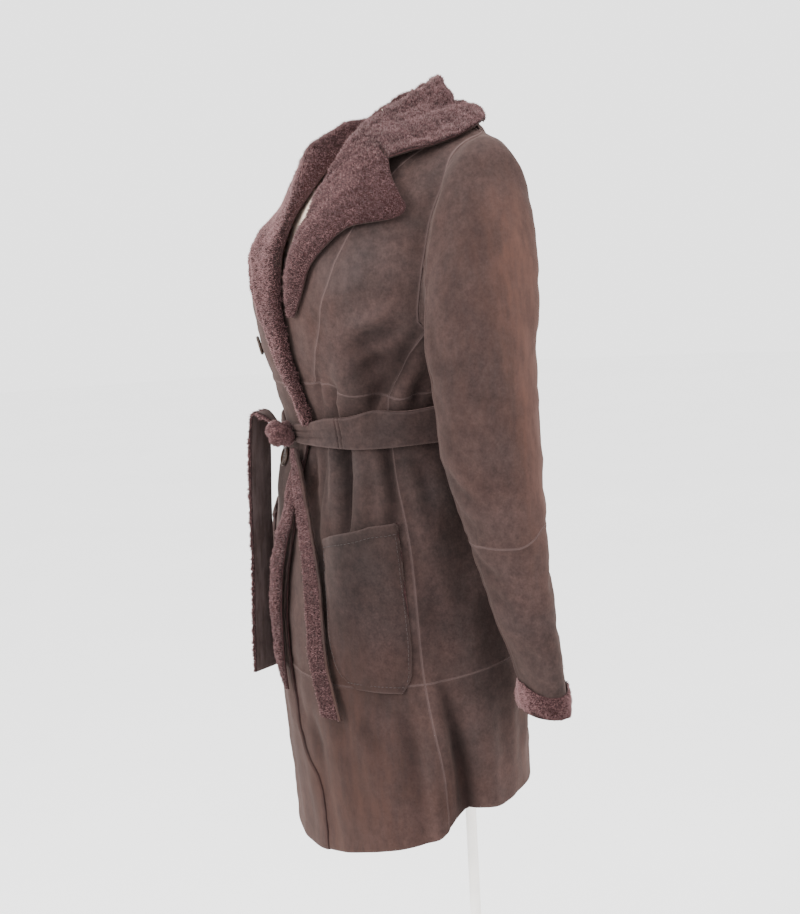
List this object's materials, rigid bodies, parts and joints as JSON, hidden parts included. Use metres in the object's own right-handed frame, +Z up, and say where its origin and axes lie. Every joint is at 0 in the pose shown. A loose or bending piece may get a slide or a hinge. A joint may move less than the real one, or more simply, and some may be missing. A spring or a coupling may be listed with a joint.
{
  "type": "shearling coat on a dress form",
  "caption": "Belted shearling wrap coat with fur collar, lapels and cuffs and patch pockets, worn by a limbless dress form on a round foot.",
  "frame": {"origin": "centre of the stand's round foot, on its underside, where it stands on the floor", "axes": "+Z up along the pole; -Y is the way the coat's front faces; +X is the wearer's left"},
  "size_m": [0.5446, 0.3966, 1.3685],
  "materials": {
    "back_hem_band": "suede, matt, napped",
    "back_skirt": "suede, matt, napped",
    "back_upper": "suede, matt, napped",
    "belt": "suede, matt, napped",
    "belt_knot": "clipped curly lambskin pile",
    "belt_tail_far": "clipped curly lambskin pile",
    "belt_tail_near": "clipped curly lambskin pile",
    "button_lower": "dark horn, satin",
    "button_upper": "dark horn, satin",
    "collar": "clipped curly lambskin pile",
    "form_base": "satin",
    "form_pole": "satin",
    "form_torso": "cream linen, plain",
    "left_cuff": "clipped curly lambskin pile",
    "left_front_hem_band": "suede, matt, napped",
    "left_front_skirt": "suede, matt, napped",
    "left_front_upper": "suede, matt, napped",
    "left_lapel": "clipped curly lambskin pile",
    "left_pocket": "suede, matt, napped",
    "left_side_front_upper": "suede, matt, napped",
    "left_sleeve_lower_outer": "suede, matt, napped",
    "left_sleeve_lower_under": "suede, matt, napped",
    "left_sleeve_upper_outer": "suede, matt, napped",
    "left_sleeve_upper_under": "suede, matt, napped",
    "right_cuff": "clipped curly lambskin pile",
    "right_front_hem_band": "suede, matt, napped",
    "right_front_skirt": "suede, matt, napped",
    "right_front_turned_edge": "clipped curly lambskin pile",
    "right_front_upper": "suede, matt, napped",
    "right_lapel": "clipped curly lambskin pile",
    "right_pocket": "suede, matt, napped",
    "right_side_front_upper": "suede, matt, napped",
    "right_sleeve_lower_outer": "suede, matt, napped",
    "right_sleeve_lower_under": "suede, matt, napped",
    "right_sleeve_upper_outer": "suede, matt, napped",
    "right_sleeve_upper_under": "suede, matt, napped"
  },
  "bodies": {
    "root": {"back_hem_band": "back_hem_band", "back_skirt": "back_skirt", "back_upper": "back_upper", "belt": "belt", "belt_knot": "belt_knot", "belt_tail_far": "belt_tail_far", "belt_tail_near": "belt_tail_near", "button_lower": "button_lower", "button_upper": "button_upper", "collar": "collar", "form_base": "form_base", "form_pole": "form_pole", "form_torso": "form_torso", "left_cuff": "left_cuff", "left_front_hem_band": "left_front_hem_band", "left_front_skirt": "left_front_skirt", "left_front_upper": "left_front_upper", "left_lapel": "left_lapel", "left_pocket": "left_pocket", "left_side_front_upper": "left_side_front_upper", "left_sleeve_lower_outer": "left_sleeve_lower_outer", "left_sleeve_lower_under": "left_sleeve_lower_under", "left_sleeve_upper_outer": "left_sleeve_upper_outer", "left_sleeve_upper_under": "left_sleeve_upper_under", "right_cuff": "right_cuff", "right_front_hem_band": "right_front_hem_band", "right_front_skirt": "right_front_skirt", "right_front_turned_edge": "right_front_turned_edge", "right_front_upper": "right_front_upper", "right_lapel": "right_lapel", "right_pocket": "right_pocket", "right_side_front_upper": "right_side_front_upper", "right_sleeve_lower_outer": "right_sleeve_lower_outer", "right_sleeve_lower_under": "right_sleeve_lower_under", "right_sleeve_upper_outer": "right_sleeve_upper_outer", "right_sleeve_upper_under": "right_sleeve_upper_under"}
  },
  "joints": []
}
